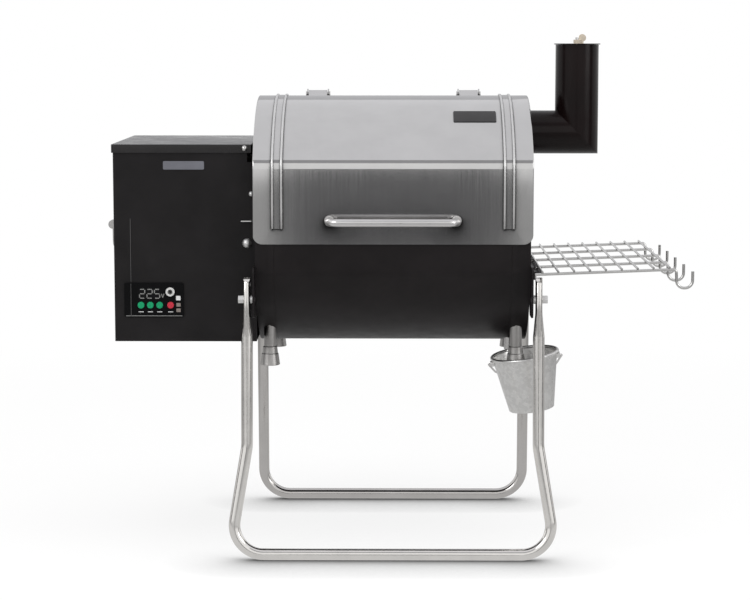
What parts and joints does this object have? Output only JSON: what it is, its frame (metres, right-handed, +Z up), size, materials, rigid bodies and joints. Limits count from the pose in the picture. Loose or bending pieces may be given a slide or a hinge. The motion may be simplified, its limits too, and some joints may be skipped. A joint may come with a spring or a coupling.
{
  "type": "pellet smoker grill",
  "caption": "Portable barrel pellet grill on two folding tube frames, with a hinged hood, a pellet hopper and control panel, a mitred chimney, a wire shelf and a grease bucket.",
  "frame": {"origin": "middle of the bounding box's underside, on the floor the leg frames stand on", "axes": "+Z up, -Y the front with the hood's handle, +X the side with the chimney and the wire shelf"},
  "size_m": [0.9102, 0.4716, 0.8043],
  "materials": {
    "barrel": "black high-heat coat, satin",
    "hood": "stainless sheet, fine brushing across",
    "chimney": "black high-heat coat, satin",
    "hopper": "black coat, satin",
    "hopper_lid": "black coat, satin",
    "legs": "polished tube",
    "bright_steel": "bright, softly brushed",
    "chrome_wire": "polished wire",
    "bucket": "galvanised, softly spangled",
    "inner_steel": "plain sheet, satin",
    "grate": "black enamel",
    "dark_plate": "dark, bare",
    "panel": "black, matt",
    "display": "black window with grey segments",
    "board": "coated board",
    "black_plastic": "satin",
    "pale_plastic": "satin, pale beige",
    "green_button": "soft satin",
    "red_button": "soft satin"
  },
  "bodies": {
    "grill": {"barrel_tub": "barrel", "rear_panel": "barrel", "end_panel_left": "barrel", "end_panel_right": "barrel", "drain_spout": "bright_steel", "heat_shield": "inner_steel", "grease_tray": "inner_steel", "fire_pot": "inner_steel", "grate_ledges": "inner_steel", "hinge_ears": "bright_steel", "hinge_pins": "bright_steel", "chimney_stack": "chimney", "chimney_arm": "chimney", "chimney_flange": "chimney", "cap_stem": "bright_steel", "leg_brackets": "barrel", "pivot_bolts": "bright_steel", "feet": "bright_steel", "hopper_shell": "hopper", "hopper_floor": "hopper", "hopper_lid_pins": "bright_steel", "pellet_bin": "inner_steel", "bin_guard": "inner_steel", "auger_tube": "inner_steel", "auger_motor": "inner_steel", "fan_housing": "black_plastic", "control_panel": "panel", "display_window": "display", "button_board": "board", "probe_jack": "black_plastic", "side_handle_plate": "bright_steel", "shelf_rail": "barrel", "bucket_hanger": "barrel", "body_screws": "bright_steel", "hopper_thumb_nut": "bright_steel", "hopper_tab": "bright_steel"},
    "hood": {"hood_shell": "hood", "hood_handle": "bright_steel", "hood_plate": "dark_plate", "hinge_leaves": "hood"},
    "hopper_lid": {"hopper_lid": "hopper_lid"},
    "front_legs": {"front_leg_frame": "legs"},
    "rear_legs": {"rear_leg_frame": "legs"},
    "shelf": {"shelf_grid": "chrome_wire", "shelf_pins": "chrome_wire", "shelf_hooks": "chrome_wire"},
    "bucket": {"bucket": "bucket"},
    "bail": {"bail": "bright_steel"},
    "cap": {"chimney_cap": "chimney", "thumb_nut": "pale_plastic"},
    "auger": {"auger_screw": "inner_steel"},
    "fan": {"fan_wheel": "black_plastic"},
    "grate": {"cooking_grate": "grate"},
    "side_handle": {"side_handle": "bright_steel"},
    "button_up": {"button_up": "green_button"},
    "button_set": {"button_set": "green_button"},
    "button_down": {"button_down": "green_button"},
    "button_power": {"button_power": "red_button"}
  },
  "joints": [
    {"name": "hood_hinge", "type": "hinge", "parent": "grill", "child": "hood", "pos_m": [-0.00409, 0.10618, 0.706], "axis": [-1, 0, 0], "range_deg": [0, 95]},
    {"name": "hopper_lid_hinge", "type": "hinge", "parent": "grill", "child": "hopper_lid", "pos_m": [-0.23309, 0.00618, 0.6295], "axis": [0, 1, 0], "range_deg": [0, 88]},
    {"name": "front_leg_fold", "type": "hinge", "parent": "grill", "child": "front_legs", "pos_m": [-0.00409, -0.18982, 0.4], "axis": [-1, 0, 0], "range_deg": [0, 120]},
    {"name": "rear_leg_fold", "type": "hinge", "parent": "grill", "child": "rear_legs", "pos_m": [-0.00409, 0.20218, 0.4], "axis": [1, 0, 0], "range_deg": [0, 120]},
    {"name": "shelf_lift", "type": "slide", "parent": "grill", "child": "shelf", "axis": [0, 0, 1], "range_m": [0, 0.025]},
    {"name": "bucket_lift", "type": "slide", "parent": "grill", "child": "bucket", "axis": [0, 0, 1], "range_m": [0, 0.006]},
    {"name": "bail_hinge", "type": "hinge", "parent": "bucket", "child": "bail", "pos_m": [0.20644, -0.07825, 0.29112], "axis": [0.9903, -0.0073, 0.139], "range_deg": [0, 28]},
    {"name": "cap_lift", "type": "slide", "parent": "grill", "child": "cap", "axis": [0, 0, 1], "range_m": [0, 0.006]},
    {"name": "button_up_press", "type": "slide", "parent": "grill", "child": "button_up", "axis": [0, 1, 0], "range_m": [0, 0.001], "stiffness_N_per_m": 600, "springref_m": -0.001},
    {"name": "button_set_press", "type": "slide", "parent": "grill", "child": "button_set", "axis": [0, 1, 0], "range_m": [0, 0.001], "stiffness_N_per_m": 600, "springref_m": -0.001},
    {"name": "button_down_press", "type": "slide", "parent": "grill", "child": "button_down", "axis": [0, 1, 0], "range_m": [0, 0.001], "stiffness_N_per_m": 600, "springref_m": -0.001},
    {"name": "button_power_press", "type": "slide", "parent": "grill", "child": "button_power", "axis": [0, 1, 0], "range_m": [0, 0.001], "stiffness_N_per_m": 600, "springref_m": -0.001},
    {"name": "auger_turn", "type": "hinge", "parent": "grill", "child": "auger", "pos_m": [-0.20409, 0.00618, 0.368], "axis": [1, 0, 0], "continuous": true},
    {"name": "fan_turn", "type": "hinge", "parent": "grill", "child": "fan", "pos_m": [-0.33409, 0.13618, 0.436], "axis": [0, 1, 0], "continuous": true},
    {"name": "grate_lift", "type": "slide", "parent": "grill", "child": "grate", "axis": [0, 0, 1], "range_m": [0, 0.06]},
    {"name": "side_handle_hinge", "type": "hinge", "parent": "grill", "child": "side_handle", "pos_m": [-0.44809, 0.00118, 0.505], "axis": [0, 1, 0], "range_deg": [0, 80]}
  ]
}
